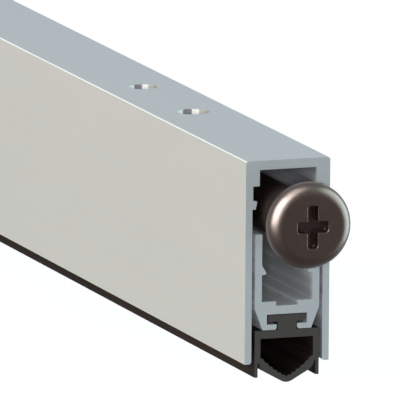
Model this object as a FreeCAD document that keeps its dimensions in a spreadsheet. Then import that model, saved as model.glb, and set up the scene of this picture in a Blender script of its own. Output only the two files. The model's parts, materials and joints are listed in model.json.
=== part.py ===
import FreeCAD, Part
import math
import os

import Sketcher

# Automatic door bottom seal: an aluminium channel that sits in a groove under a door.
# Pressing the button on its end slides a rod inwards, and two slotted sliders on the
# rod push the inner carrier and its rubber gasket down onto the floor.
#
# Frame, in millimetres: X runs along the seal with the button at +X, Y across it and
# Z up. The origin is the middle of the casing's top face.

doc = FreeCAD.newDocument("door_bottom_seal")
sheet = doc.addObject("Spreadsheet::Sheet", "Sizes")


# Numbers that remember the sheet expression they come from
class Size:
    """A length with its value now and the expression that gives it from the sheet."""

    def __init__(self, value, text):
        self.value = value
        self.text = text

    def __add__(self, other):
        other = as_size(other)
        return Size(self.value + other.value, f"({self.text} + {other.text})")

    def __radd__(self, other):
        return as_size(other) + self

    def __sub__(self, other):
        other = as_size(other)
        return Size(self.value - other.value, f"({self.text} - {other.text})")

    def __rsub__(self, other):
        return as_size(other) - self

    def __mul__(self, other):
        other = as_size(other)
        return Size(self.value * other.value, f"({self.text} * {other.text})")

    def __rmul__(self, other):
        return as_size(other) * self

    def __truediv__(self, other):
        other = as_size(other)
        return Size(self.value / other.value, f"({self.text} / {other.text})")

    def __neg__(self):
        return Size(-self.value, f"(-1 * {self.text})")


def as_size(number):
    if isinstance(number, Size):
        return number
    return Size(float(number), f"({float(number):.6f})")


sheet_row = 0


def size(name, value, note):
    """Writes one driving dimension into the sheet and returns it."""
    global sheet_row
    sheet_row += 1
    sheet.set(f"A{sheet_row}", name)
    sheet.set(f"B{sheet_row}", str(value))
    sheet.setAlias(f"B{sheet_row}", name)
    sheet.set(f"C{sheet_row}", note)
    return Size(float(value), f"Sizes.{name}")


# Casing: one extruded channel, open below
casing_length = size("casing_length", 330.0, "length of the seal")
casing_width = size("casing_width", 13.0, "width of the channel outside")
casing_height = size("casing_height", 30.0, "height of the channel outside")
top_wall = size("top_wall", 1.36, "thickness of the top wall")
edge_bevel = size("edge_bevel", 0.22, "bevel along the two top edges")
rail_opening = size("rail_opening", 8.74, "width between the thick upper walls")
rail_lip = size("rail_lip", 2.4, "height of the thick upper walls")
groove_width = size("groove_width", 10.76, "width across the two slider grooves")
groove_height = size("groove_height", 2.1, "height of the slider grooves")
ledge_opening = size("ledge_opening", 9.48, "width between the ledges under the grooves")
ledge_height = size("ledge_height", 1.3, "height of the ledges")
ledge_slope = size("ledge_slope", 0.14, "fall of a ledge's top face")
ledge_taper = size("ledge_taper", 0.24, "how far a ledge leans back below its nose")
lower_opening = size("lower_opening", 10.94, "width between the thin lower walls")
foot_round = size("foot_round", 0.4, "rounding of the inner corner at the mouth")

# Fixing holes through the top wall, the same distance from each end
large_hole_radius = size("large_hole_radius", 2.4, "radius of the outer fixing holes")
large_hole_inset = size("large_hole_inset", 41.0, "outer fixing hole from the end")
small_hole_radius = size("small_hole_radius", 2.1, "radius of the inner fixing holes")
small_hole_inset = size("small_hole_inset", 63.0, "inner fixing hole from the end")

# Carrier: the inner extrusion, stacked up from the top of the gasket's bulb
carrier_gap = size("carrier_gap", 0.5, "room between carrier and casing, each side")
carrier_wall = size("carrier_wall", 1.06, "thickness of the carrier's arms")
gasket_rise = size("gasket_rise", 4.88, "top of the gasket's bulb above the mouth")
joint_gap = size("joint_gap", 0.05, "gap between pieces that only lie together")
slot_lip = size("slot_lip", 0.79, "thickness of the lips under the T slot")
slot_height = size("slot_height", 1.49, "height of the T slot")
slot_half = size("slot_half", 3.1, "half width of the T slot")
lip_half = size("lip_half", 1.6, "half width between the lips")
lip_round = size("lip_round", 0.3, "rounding of the lips")
slant_foot_half = size("slant_foot_half", 3.75, "half width across the carrier's foot")
slant_rise = size("slant_rise", 3.15, "height of the slanted foot")
floor_thickness = size("floor_thickness", 1.91, "floor between the carrier's arms")
floor_groove_half = size("floor_groove_half", 1.7, "half width of the floor's groove")
floor_groove_depth = size("floor_groove_depth", 0.66, "depth of the floor's groove")
seat_height = size("seat_height", 3.96, "height of the seat under the barbs")
barb_reach = size("barb_reach", 0.65, "how far a barb stands in from its arm")
barb_fall = size("barb_fall", 0.1, "slope of a barb's underside")
barb_tip = size("barb_tip", 0.25, "height of a barb's blunt tip")
barb_slope = size("barb_slope", 1.1, "height of a barb's slanted top")
arm_top_depth = size("arm_top_depth", 10.88, "top of the arms below the top face at rest")

# Gasket: one rubber extrusion held by its T foot
foot_gap = size("foot_gap", 0.1, "room above the T foot")
foot_height = size("foot_height", 1.0, "thickness of the T foot")
foot_half = size("foot_half", 2.9, "half width of the T foot")
neck_half = size("neck_half", 1.44, "half width of the neck")
bulb_top_wall = size("bulb_top_wall", 1.2, "top wall of the bulb")
bulb_side_wall = size("bulb_side_wall", 0.9, "side walls of the bulb")
bulb_side_height = size("bulb_side_height", 2.8, "height of the hollow's upright sides")
hollow_vee_depth = size("hollow_vee_depth", 3.06, "depth of the hollow's V")
hollow_belly = size("hollow_belly", 0.3, "how far the hollow's V bulges below straight")
vee_start_half = size("vee_start_half", 4.3, "half width where the outer V starts")
vee_start_drop = size("vee_start_drop", 4.75, "start of the outer V below the bulb's top")
shoulder_half = size("shoulder_half", 3.55, "half width where the V's shoulder ends")
shoulder_drop = size("shoulder_drop", 1.3, "depth of the V's round shoulder")
tip_half = size("tip_half", 0.8, "half width of the V's round tip")
tip_start_drop = size("tip_start_drop", 2.83, "start of the round tip below the V's start")
fin_thickness = size("fin_thickness", 0.5, "thickness of the side fins")
fin_reach = size("fin_reach", 6.9, "fin tips below the bulb's top")
rib_rise = size("rib_rise", 0.22, "height of the small ribs inside the V")
rib_count = 6
rib_lean = 0.7
shoulder_turn = 44.0
tip_turn = 56.0

# Motion
press_travel = size("press_travel", 7.0, "how far the button is pressed")
stop_gap = size("stop_gap", 0.2, "room behind the head when fully pressed")
running_gap = size("running_gap", 0.05, "radial clearance of a shaft in its hole")
glide_gap = size("glide_gap", 0.15, "clearance of the blocks in the channel")
rod_depth = size("rod_depth", 8.19, "rod axis below the top face")

# Button, turned to set the drop
head_radius = size("head_radius", 6.33, "radius of the button's head")
head_thickness = size("head_thickness", 3.45, "thickness of the head")
head_front_round = size("head_front_round", 1.85, "rounding of the head's front rim")
head_back_round = size("head_back_round", 1.1, "rounding of the head's back rim")
cross_height = size("cross_height", 6.34, "length of the recess's upright slot")
cross_span = size("cross_span", 4.8, "length of the recess's level slot")
cross_upright = size("cross_upright", 1.6, "width of the upright slot")
cross_bar = size("cross_bar", 1.67, "width of the level slot")
cross_corner = size("cross_corner", 0.42, "rounding of the slots' ends")
cross_depth = size("cross_depth", 1.6, "depth of the recess")
barrel_radius = size("barrel_radius", 3.8, "radius of the button's barrel")
barrel_reach = size("barrel_reach", 23.0, "how far the barrel reaches inside")
insert_radius = size("insert_radius", 2.8, "radius of the threaded insert")
insert_seat = size("insert_seat", 4.0, "start of the insert inside the end")
insert_tail = size("insert_tail", 1.6, "insert past its retaining ring")

# Rods and what sits on them
rod_radius = size("rod_radius", 2.0, "radius of the push rods")
rod_end_inset = size("rod_end_inset", 8.0, "front end of the push rod inside the end")
rod_bevel = size("rod_bevel", 0.4, "bevel of the rod ends")
guide_length = size("guide_length", 6.0, "length of the button's guide")
side_play = size("side_play", 0.3, "end play between neighbours along the rod")
ring_thickness = size("ring_thickness", 0.8, "thickness of the retaining rings")
ring_width = size("ring_width", 1.0, "radial width of the retaining rings")
ring_groove = size("ring_groove", 0.35, "depth of the retaining grooves")
ring_mouth = size("ring_mouth", 2.0, "gap in a retaining ring")
collar_radius = size("collar_radius", 3.6, "radius of the spring collar")
collar_length = size("collar_length", 3.0, "length of the spring collar")
collar_inset = size("collar_inset", 66.8, "front of the spring collar inside the end")
spring_length = size("spring_length", 15.5, "length of the spring at rest")
spring_radius = size("spring_radius", 2.75, "mean radius of the spring")
wire_radius = size("wire_radius", 0.35, "radius of the spring wire")
spring_turns = size("spring_turns", 7, "turns of the spring")
abutment_length = size("abutment_length", 6.0, "length of the spring abutment")
nut_flats = size("nut_flats", 7.0, "width across the lock nut's flats")
nut_thickness = size("nut_thickness", 2.2, "thickness of the lock nut")

# Cam sliders, measured from their cross pin at rest
front_cam_inset = size("front_cam_inset", 112.5, "front cam pin inside the button end")
cam_spacing = size("cam_spacing", 105.0, "distance between the two cam pins")
pin_radius = size("pin_radius", 1.25, "radius of the cam pins")
pin_depth = size("pin_depth", 4.6, "cam pin axis below the top face at rest")
cam_wall = size("cam_wall", 1.05, "material round the cam slot")
cam_tip_gap = size("cam_tip_gap", 0.2, "room below the slotted plate at rest")
cam_thickness = size("cam_thickness", 3.0, "thickness of the slotted plate")
cam_block_length = size("cam_block_length", 6.0, "length of each end block")
cam_block_gap = size("cam_block_gap", 0.5, "room between an end block and the ears")
cam_top_gap = size("cam_top_gap", 0.8, "slotted plate below the top wall")
block_tongue_depth = size("block_tongue_depth", 12.0, "blocks' lowest face below the top")
rod_socket_depth = size("rod_socket_depth", 5.0, "how far a rod enters a block")
cross_pin_radius = size("cross_pin_radius", 0.75, "radius of the pins through the rods")

# Shoes in the carrier, and the lengthwise guide
ear_half_length = size("ear_half_length", 2.5, "half length of a shoe's ears")
ear_thickness = size("ear_thickness", 1.2, "thickness of each ear")
fork_gap = size("fork_gap", 0.25, "room between an ear and the slotted plate")
shoe_tail = size("shoe_tail", 6.5, "length of a shoe behind its ears")
shoe_gap = size("shoe_gap", 0.1, "room round a shoe in the carrier's seat")
screw_radius = size("screw_radius", 1.5, "radius of the grub screws")
screw_length = size("screw_length", 4.0, "length of the grub screws")
key_flats = size("key_flats", 1.5, "width across a grub screw's socket")
key_depth = size("key_depth", 1.5, "depth of a grub screw's socket")
post_spacing = size("post_spacing", 37.5, "guide post behind the rear cam pin")
post_half_length = size("post_half_length", 3.0, "half length of the guide post")
post_half_width = size("post_half_width", 2.8, "half width of the guide post below")
upright_thickness = size("upright_thickness", 2.5, "thickness of the fork's uprights")
web_gap = size("web_gap", 0.25, "room between a moving tip and the web below it")
web_thickness = size("web_thickness", 1.73, "web of a shoe below the slotted plate")

doc.recompute()


# Levels below the top face, and half widths, that several pieces share
end_x = casing_length / 2
mouth_z = -casing_height
groove_top_z = -(top_wall + rail_lip)
groove_bottom_z = groove_top_z - groove_height
ledge_bottom_z = groove_bottom_z - ledge_height
bulb_top_z = mouth_z + gasket_rise
carrier_bottom_z = bulb_top_z + joint_gap
slot_bottom_z = carrier_bottom_z + slot_lip
slot_top_z = slot_bottom_z + slot_height
floor_z = slot_top_z + floor_thickness
seat_z = floor_z + seat_height
arm_top_z = -arm_top_depth
carrier_half = lower_opening / 2 - carrier_gap
arm_inner_half = carrier_half - carrier_wall
rod_z = -rod_depth
pin_z = -pin_depth
web_z = floor_z + web_thickness
rod_hole_radius = rod_radius + running_gap

# Places along the seal, inwards from the button end
guide_front = barrel_reach + side_play
guide_back = guide_front + guide_length
guide_ring_front = guide_back + side_play
insert_reach = guide_ring_front + ring_thickness + insert_tail
collar_back = collar_inset + collar_length
abutment_front = collar_back + spring_length
front_cam_x = end_x - front_cam_inset
rear_cam_x = front_cam_x - cam_spacing
post_x = rear_cam_x - post_spacing

# Cam slider outline, from its pin at rest, with the button end at positive x. The
# drop is what the height leaves between the pin at rest and the web below the plate.
slot_half_width = pin_radius + running_gap
cam_margin = slot_half_width + cam_wall
drop_travel = pin_z - cam_margin - cam_tip_gap - web_z
rear_block_front = -(ear_half_length + cam_block_gap)
rear_block_back = rear_block_front - cam_block_length
front_block_back = press_travel + ear_half_length + cam_block_gap
front_block_front = front_block_back + cam_block_length


# Drawing
def mirrored(points):
    """The other half of an outline, in reverse order, with its arcs kept."""
    other = []
    for index in reversed(range(len(points))):
        turn = points[index - 1][2:] if index > 0 else ()
        other.append((-as_size(points[index][0]), points[index][1]) + turn)
    return other


def both_halves(points):
    return points + mirrored(points)


def box_outline(low_x, low_y, high_x, high_y):
    return [(low_x, low_y), (high_x, low_y), (high_x, high_y), (low_x, high_y)]


def hexagon(centre_x, centre_y, flats):
    """A hexagon with two of its corners straight above and below its centre."""
    corner = flats / math.sqrt(3)
    half = flats / 2
    return [
        (centre_x, centre_y + corner),
        (centre_x - half, centre_y + corner / 2),
        (centre_x - half, centre_y - corner / 2),
        (centre_x, centre_y - corner),
        (centre_x + half, centre_y - corner / 2),
        (centre_x + half, centre_y + corner / 2),
    ]


def edge_of(here, there):
    """A line, or an arc that turns by the angle given with its first point."""
    start = FreeCAD.Vector(as_size(here[0]).value, as_size(here[1]).value, 0)
    end = FreeCAD.Vector(as_size(there[0]).value, as_size(there[1]).value, 0)
    if len(here) == 2:
        return Part.LineSegment(start, end)
    turn = math.radians(as_size(here[2]).value)
    if turn < 0:
        start, end = end, start
    chord = end - start
    left = FreeCAD.Vector(-chord.y, chord.x, 0)
    centre = start + chord / 2 + left * (0.5 / math.tan(abs(turn) / 2))
    angle = math.atan2(start.y - centre.y, start.x - centre.x)
    circle = Part.Circle(centre, FreeCAD.Vector(0, 0, 1), (start - centre).Length)
    return Part.ArcOfCircle(circle, angle, angle + abs(turn))


def hold(sketch, kind, where, wanted, unit=""):
    """Adds one dimension to a sketch and ties it to the sheet."""
    wanted = as_size(wanted)
    value = math.radians(wanted.value) if unit else wanted.value
    index = sketch.addConstraint(Sketcher.Constraint(kind, *where, value))
    sketch.setExpression(f"Constraints[{index}]", wanted.text + unit)


def draw_loop(sketch, points):
    """Draws a closed outline with every corner held at its place."""
    first = sketch.GeometryCount
    count = len(points)
    ends = []
    for index, here in enumerate(points):
        sketch.addGeometry(edge_of(here, points[(index + 1) % count]), False)
        clockwise = len(here) == 3 and as_size(here[2]).value < 0
        ends.append((2, 1) if clockwise else (1, 2))
    for index, here in enumerate(points):
        edge = first + index
        following = (index + 1) % count
        meeting = (edge, ends[index][1], first + following, ends[following][0])
        sketch.addConstraint(Sketcher.Constraint("Coincident", *meeting))
        hold(sketch, "DistanceX", (edge, ends[index][0]), here[0])
        hold(sketch, "DistanceY", (edge, ends[index][0]), here[1])
        if len(here) == 3:
            turn = as_size(here[2])
            hold(sketch, "Angle", (edge,), turn if turn.value > 0 else -turn, " * 1 deg")


class Round:
    """A full circle in a sketch."""

    def __init__(self, centre_x, centre_y, radius):
        self.centre_x = as_size(centre_x)
        self.centre_y = as_size(centre_y)
        self.radius = as_size(radius)

    def draw(self, sketch):
        centre = FreeCAD.Vector(self.centre_x.value, self.centre_y.value, 0)
        circle = Part.Circle(centre, FreeCAD.Vector(0, 0, 1), self.radius.value)
        edge = sketch.addGeometry(circle, False)
        hold(sketch, "DistanceX", (edge, 3), self.centre_x)
        hold(sketch, "DistanceY", (edge, 3), self.centre_y)
        hold(sketch, "Radius", (edge,), self.radius)


pieces = []


class Piece:
    """One physical piece: a body whose features are drawn on its own origin planes."""

    def __init__(self, label, along=0, up=0, several=False):
        self.body = doc.addObject("PartDesign::Body", label)
        self.body.Label = label
        self.body.AllowCompound = several
        self.body.setExpression("Placement.Base.x", as_size(along).text)
        self.body.setExpression("Placement.Base.z", as_size(up).text)
        pieces.append(self)

    def origin(self, role):
        for feature in self.body.Origin.OriginFeatures:
            if feature.Role == role:
                return feature
        raise ValueError(role)

    def sketch(self, plane, loops, shift):
        sketch = self.body.newObject("Sketcher::SketchObject", "Outline")
        sketch.AttachmentSupport = (self.origin(plane), [""])
        sketch.MapMode = "FlatFace"
        sketch.setExpression("AttachmentOffset.Base.z", as_size(shift).text)
        for loop in loops:
            if isinstance(loop, Round):
                loop.draw(sketch)
            else:
                draw_loop(sketch, loop)
        return sketch

    def extrude(self, kind, plane, loops, length, shift, both, reverse):
        profile = self.sketch(plane, loops, shift)
        feature = self.body.newObject(kind, kind.split("::")[1])
        feature.Profile = profile
        feature.SideType = "Symmetric" if both else "One side"
        feature.Reversed = reverse
        feature.setExpression("Length", as_size(length).text)
        profile.Visibility = False
        self.body.Tip = feature
        doc.recompute()
        return feature

    def pad(self, plane, loops, length, shift=0, both=False, reverse=False):
        return self.extrude("PartDesign::Pad", plane, loops, length, shift, both, reverse)

    def cut(self, plane, loops, length, shift=0, both=False, reverse=False):
        before = self.body.Shape.Volume
        kind = "PartDesign::Pocket"
        feature = self.extrude(kind, plane, loops, length, shift, both, reverse)
        if self.body.Shape.Volume > before - 0.001:
            raise ValueError(f"a cut in {self.body.Label} takes nothing away")
        return feature

    def turn(self, points):
        """Revolves an outline of places along x and radii about the piece's own x axis."""
        profile = self.sketch("XZ_Plane", [points], 0)
        feature = self.body.newObject("PartDesign::Revolution", "Turned")
        feature.Profile = profile
        feature.ReferenceAxis = (self.origin("X_Axis"), [""])
        feature.Angle = 360
        self.body.Tip = feature
        doc.recompute()
        return feature


# Casing
def make_casing():
    """An inverted channel with slider grooves, ledges and two fixing holes at each end."""
    side = [
        (rail_opening / 2, -top_wall),
        (rail_opening / 2, groove_top_z),
        (groove_width / 2, groove_top_z),
        (groove_width / 2, groove_bottom_z),
        (ledge_opening / 2, groove_bottom_z - ledge_slope),
        (ledge_opening / 2 + ledge_taper, ledge_bottom_z),
        (lower_opening / 2, ledge_bottom_z),
        (lower_opening / 2, mouth_z + foot_round, 90),
        (lower_opening / 2 + foot_round, mouth_z),
        (casing_width / 2, mouth_z),
        (casing_width / 2, -edge_bevel),
        (casing_width / 2 - edge_bevel, 0),
    ]
    casing = Piece("casing")
    casing.pad("YZ_Plane", [both_halves(side)], casing_length, both=True)
    holes = []
    for direction in (1, -1):
        holes.append(Round((end_x - large_hole_inset) * direction, 0, large_hole_radius))
        holes.append(Round((end_x - small_hole_inset) * direction, 0, small_hole_radius))
    casing.cut("XY_Plane", holes, top_wall + rail_lip)


# Carrier and gasket
def make_carrier():
    """The dropping extrusion: barbed arms, a grooved floor and a T slot below."""
    barb_z = seat_z + barb_fall
    side = [
        (floor_groove_half, floor_z - floor_groove_depth),
        (floor_groove_half, floor_z),
        (arm_inner_half, floor_z),
        (arm_inner_half, seat_z),
        (arm_inner_half - barb_reach, barb_z),
        (arm_inner_half - barb_reach, barb_z + barb_tip),
        (arm_inner_half, barb_z + barb_tip + barb_slope),
        (arm_inner_half, arm_top_z),
        (carrier_half, arm_top_z),
        (carrier_half, carrier_bottom_z + slant_rise),
        (slant_foot_half, carrier_bottom_z),
        (lip_half + lip_round, carrier_bottom_z, -90),
        (lip_half, carrier_bottom_z + lip_round),
        (lip_half, slot_bottom_z),
        (slot_half, slot_bottom_z),
        (slot_half, slot_top_z),
    ]
    carrier = Piece("carrier")
    carrier.pad("YZ_Plane", [both_halves(side)], casing_length, both=True)


def belly_at(share):
    """A parabola over the V's side: 0 at both ends and 1 in the middle."""
    return share * (1 - share) * 4


def make_gasket():
    """A rubber extrusion: T foot, hollow V bulb with small ribs inside, and two fins."""
    foot_top_z = slot_top_z - foot_gap
    vee_start_z = bulb_top_z - vee_start_drop
    fin_inner_half = carrier_half - fin_thickness
    outside = [
        (foot_half, foot_top_z),
        (foot_half, foot_top_z - foot_height),
        (neck_half, foot_top_z - foot_height),
        (neck_half, bulb_top_z),
        (carrier_half, bulb_top_z),
        (carrier_half, bulb_top_z - fin_reach),
        (fin_inner_half, bulb_top_z - fin_reach),
        (fin_inner_half, vee_start_z - joint_gap),
        (vee_start_half, vee_start_z, -shoulder_turn),
        (shoulder_half, vee_start_z - shoulder_drop),
        (tip_half, vee_start_z - tip_start_drop, -tip_turn),
    ]
    hollow_half = carrier_half - bulb_side_wall
    hollow_top_z = bulb_top_z - bulb_top_wall
    corner_z = hollow_top_z - bulb_side_height
    hollow = [(hollow_half, hollow_top_z)]
    for rib in range(rib_count):
        foot = rib / rib_count
        crest = (rib + rib_lean) / rib_count
        foot_z = corner_z - hollow_vee_depth * foot - hollow_belly * belly_at(foot)
        crest_z = corner_z - hollow_vee_depth * crest - hollow_belly * belly_at(crest)
        hollow.append((hollow_half * (1 - foot), foot_z))
        hollow.append((hollow_half * (1 - crest), crest_z + rib_rise))
    apex = [(0, corner_z - hollow_vee_depth)]
    gasket = Piece("gasket")
    loops = [both_halves(outside), hollow + apex + mirrored(hollow)]
    gasket.pad("YZ_Plane", loops, casing_length, both=True)


# Button and what turns or slides with it
def cross_outline():
    """A cross of two slots of different lengths, with rounded ends."""
    up = cross_height / 2
    out = cross_span / 2
    narrow = cross_upright / 2
    low = cross_bar / 2
    quarter = [
        (narrow, low),
        (out - cross_corner, low, -90),
        (out, low - cross_corner),
        (out, -(low - cross_corner), -90),
        (out - cross_corner, -low),
        (narrow, -low),
        (narrow, -(up - cross_corner), -90),
        (narrow - cross_corner, -up),
    ]
    half = quarter + mirrored(quarter)
    return half[:-1] + [
        (-narrow, low),
        (-narrow, up - cross_corner, -90),
        (-(narrow - cross_corner), up),
        (narrow - cross_corner, up, -90),
        (narrow, up - cross_corner),
    ]


def make_button():
    """The moulded head and barrel, bored from inside for its insert."""
    back = press_travel + stop_gap
    front = back + head_thickness
    outline = [
        (front, 0),
        (front, head_radius - head_front_round, 90),
        (front - head_front_round, head_radius),
        (back + head_back_round, head_radius, 90),
        (back, head_radius - head_back_round),
        (back, barrel_radius),
        (-barrel_reach, barrel_radius),
        (-barrel_reach, insert_radius),
        (-insert_seat, insert_radius),
        (-insert_seat, 0),
    ]
    button = Piece("plunger_button", along=end_x, up=rod_z)
    button.turn(outline)
    button.cut("YZ_Plane", [cross_outline()], cross_depth, shift=front)


def make_insert():
    """The brass bush in the barrel that the push rod screws into."""
    groove_radius = insert_radius - ring_groove
    ring_front = -guide_ring_front
    ring_back = ring_front - ring_thickness
    insert = Piece("threaded_insert", along=end_x, up=rod_z)
    insert.turn([
        (-insert_seat, rod_hole_radius),
        (-insert_seat, insert_radius),
        (ring_front, insert_radius),
        (ring_front, groove_radius),
        (ring_back, groove_radius),
        (ring_back, insert_radius),
        (-insert_reach, insert_radius),
        (-insert_reach, rod_hole_radius),
    ])


def make_ring(label, shaft_radius, front):
    """An open retaining ring in a groove of the shaft, its gap pointing down."""
    inner = shaft_radius - ring_groove
    outer = inner + ring_width
    ring = Piece(label, along=end_x - front - ring_thickness, up=rod_z)
    loops = [Round(0, 0, outer), Round(0, 0, inner)]
    ring.pad("YZ_Plane", loops, ring_thickness)
    mouth = box_outline(-ring_mouth / 2, -(outer + ring_width), ring_mouth / 2, 0)
    ring.cut("YZ_Plane", [mouth], ring_thickness, reverse=True)


def channel_block():
    """The outline of a block that glides in the casing's upper channel."""
    body_half = ledge_opening / 2 - glide_gap
    tongue_half = arm_inner_half - side_play
    return both_halves([
        (rail_opening / 2 - glide_gap, -(top_wall + glide_gap)),
        (rail_opening / 2 - glide_gap, groove_top_z - glide_gap),
        (groove_width / 2 - glide_gap, groove_top_z - glide_gap),
        (groove_width / 2 - glide_gap, groove_bottom_z + glide_gap),
        (body_half, groove_bottom_z + glide_gap),
        (body_half, arm_top_z + side_play),
        (tongue_half, arm_top_z + side_play),
        (tongue_half, -block_tongue_depth),
    ])


def make_guide():
    """The block that carries the button's inner end in line with the casing."""
    guide = Piece("adjuster_guide", along=end_x - guide_back)
    bore = Round(0, rod_z, insert_radius + running_gap)
    guide.pad("YZ_Plane", [channel_block(), bore], guide_length)


# Rods and the return spring
def make_push_rod():
    """The rod from the button to the front slider, grooved for the collar's ring."""
    front = -rod_end_inset
    back = -(end_x - front_cam_x - front_block_front + rod_socket_depth)
    ring_back = -collar_inset
    ring_front = ring_back + ring_thickness
    groove_radius = rod_radius - ring_groove
    rod = Piece("front_push_rod", along=end_x, up=rod_z)
    rod.turn([
        (front, 0),
        (front, rod_radius - rod_bevel),
        (front - rod_bevel, rod_radius),
        (ring_front, rod_radius),
        (ring_front, groove_radius),
        (ring_back, groove_radius),
        (ring_back, rod_radius),
        (back, rod_radius),
        (back, 0),
    ])
    drill_for_pins(rod, [back + rod_socket_depth / 2])


def drill_for_pins(rod, places):
    """Cross holes through a rod for the spring pins that hold it in its sliders."""
    holes = [Round(place, 0, cross_pin_radius) for place in places]
    rod.cut("XZ_Plane", holes, rod_radius * 3, both=True)


def make_link_rod():
    """The plain rod between the two sliders."""
    front = front_cam_x + rear_block_back + rod_socket_depth
    back = rear_cam_x + front_block_front - rod_socket_depth
    rod = Piece("link_rod", along=back, up=rod_z)
    length = front - back
    rod.turn([(0, 0), (length, 0), (length, rod_radius), (0, rod_radius)])
    drill_for_pins(rod, [rod_socket_depth / 2, length - rod_socket_depth / 2])


def make_collar():
    collar = Piece("spring_collar", along=end_x - collar_back, up=rod_z)
    loops = [Round(0, 0, collar_radius), Round(0, 0, rod_radius)]
    collar.pad("YZ_Plane", loops, collar_length)


def make_spring():
    """A round wire wound into an open helix between the collar and the abutment."""
    spring = Piece("return_spring", along=end_x - abutment_front, up=rod_z)
    profile = spring.sketch("XZ_Plane", [Round(wire_radius, spring_radius, wire_radius)], 0)
    coil = spring.body.newObject("PartDesign::AdditiveHelix", "Coil")
    coil.Profile = profile
    coil.ReferenceAxis = (spring.origin("X_Axis"), [""])
    coil.Mode = "height-turns-angle"
    coil.setExpression("Height", (spring_length - wire_radius * 2).text)
    coil.setExpression("Turns", spring_turns.text)
    spring.body.Tip = coil
    doc.recompute()


def make_abutment():
    """The fixed block that the spring pushes on, bored for the rod and its screw."""
    abutment = Piece("spring_abutment", along=end_x - abutment_front - abutment_length)
    bore = Round(0, rod_z, rod_hole_radius)
    abutment.pad("YZ_Plane", [channel_block(), bore], abutment_length)
    tapped = Round(abutment_length / 2, 0, screw_radius)
    abutment.cut("XY_Plane", [tapped], block_tongue_depth)


def make_lock_nut():
    face = front_cam_x + front_block_front
    nut = Piece("rod_lock_nut", along=face, up=rod_z)
    nut.pad("YZ_Plane", [hexagon(0, 0, nut_flats), Round(0, 0, rod_radius)], nut_thickness)


# Cam sliders and shoes
def make_cam_slider(label, along):
    """A plate with a slanted slot between two blocks that glide in the channel.

    The slot runs from the pin at rest to a point press_travel nearer the button and
    drop_travel lower, so the pin sinks by drop_travel as the slider is pressed in.
    """
    slant = drop_travel / press_travel
    tip_z = pin_z - drop_travel - cam_margin
    plate_top_z = -(top_wall + cam_top_gap)
    overlap = cam_block_length / 2
    plate = [
        (rear_block_front - overlap, plate_top_z),
        (rear_block_front - overlap, rod_z),
        (rear_block_front, rod_z),
        (press_travel - cam_margin, tip_z),
        (press_travel + slot_half_width, tip_z),
        (front_block_back, tip_z + cam_margin),
        (front_block_back + overlap, -block_tongue_depth),
        (front_block_back + overlap, plate_top_z),
    ]
    length_per_step = math.hypot(1.0, slant.value)
    run = Size(slot_half_width.value / length_per_step, slot_half_width.text
               + f" / sqrt(1 + pow({slant.text}; 2))")
    rise = run * slant
    slot = [
        (-rise, pin_z - run),
        (press_travel - rise, pin_z - drop_travel - run, 180),
        (press_travel + rise, pin_z - drop_travel + run),
        (rise, pin_z + run, 180),
    ]
    slider = Piece(label, along=along)
    slider.pad("XZ_Plane", [plate], cam_thickness, both=True)
    for back in (rear_block_back, front_block_back):
        slider.pad("YZ_Plane", [channel_block()], cam_block_length, shift=back)
    slider.cut("XZ_Plane", [slot], cam_thickness * 2, both=True)
    socket = Round(0, rod_z, rod_radius)
    slider.cut("YZ_Plane", [socket], rod_socket_depth, shift=front_block_front)
    slider.cut("YZ_Plane", [socket], rod_socket_depth, shift=rear_block_back, reverse=True)
    holes = [Round(place, rod_z, cross_pin_radius) for place in cross_pin_places()]
    slider.cut("XZ_Plane", holes, casing_width, both=True)


def cross_pin_places():
    """The pins through the rods, from a slider's cam pin."""
    half_socket = rod_socket_depth / 2
    return [front_block_front - half_socket, rear_block_back + half_socket]


def make_cross_pins():
    front_place, rear_place = cross_pin_places()
    places = [front_cam_x + front_place, front_cam_x + rear_place, rear_cam_x + front_place]
    pins = Piece("rod_spring_pins", several=True)
    length = ledge_opening - glide_gap * 2 - joint_gap * 2
    loops = [Round(place, rod_z, cross_pin_radius) for place in places]
    pins.pad("XZ_Plane", loops, length, both=True)


def make_shoe(label, along):
    """A forked block in the carrier's seat, with two ears that hold the cam pin."""
    base_half = arm_inner_half - shoe_gap
    fork_half = cam_thickness / 2 + fork_gap
    ears_half = fork_half + ear_thickness
    length = ear_half_length * 2 + shoe_tail
    base = box_outline(-base_half, floor_z, base_half, seat_z - shoe_gap)
    ear = [
        (-ear_half_length, floor_z),
        (ear_half_length, floor_z),
        (ear_half_length, pin_z, 180),
        (-ear_half_length, pin_z),
    ]
    shoe = Piece(label, along=along)
    back = -(ear_half_length + shoe_tail)
    shoe.pad("YZ_Plane", [base], length, shift=back)
    shoe.pad("XZ_Plane", [ear], ears_half * 2, both=True)
    fork = box_outline(-fork_half, web_z, fork_half, 0)
    cut_length = ear_half_length * 2 + cam_block_gap * 2
    shoe.cut("YZ_Plane", [fork], cut_length, shift=ear_half_length + cam_block_gap)
    shoe.cut("XZ_Plane", [Round(0, pin_z, pin_radius)], casing_width, both=True)
    tapped = Round(shoe_screw_place(), 0, screw_radius)
    shoe.cut("XY_Plane", [tapped], casing_height, shift=0)


def shoe_screw_place():
    return -(ear_half_length + shoe_tail / 2 + cam_block_gap)


def make_shoe_pin(label, along):
    length = cam_thickness + (fork_gap + ear_thickness) * 2
    pin = Piece(label, along=along)
    pin.pad("XZ_Plane", [Round(0, pin_z, pin_radius)], length, both=True)


# Lengthwise guide of the carrier
def make_guide_post():
    """A block fixed in the channel with a post that reaches down into the carrier."""
    post = Piece("guide_post", along=post_x)
    post.pad("YZ_Plane", [channel_block()], post_half_length * 2, shift=-post_half_length)
    stem = box_outline(-post_half_width, web_z + web_gap, post_half_width, rod_z)
    post.pad("YZ_Plane", [stem], post_half_length * 2, shift=-post_half_length)
    post.cut("XY_Plane", [Round(0, 0, screw_radius)], casing_height)


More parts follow.
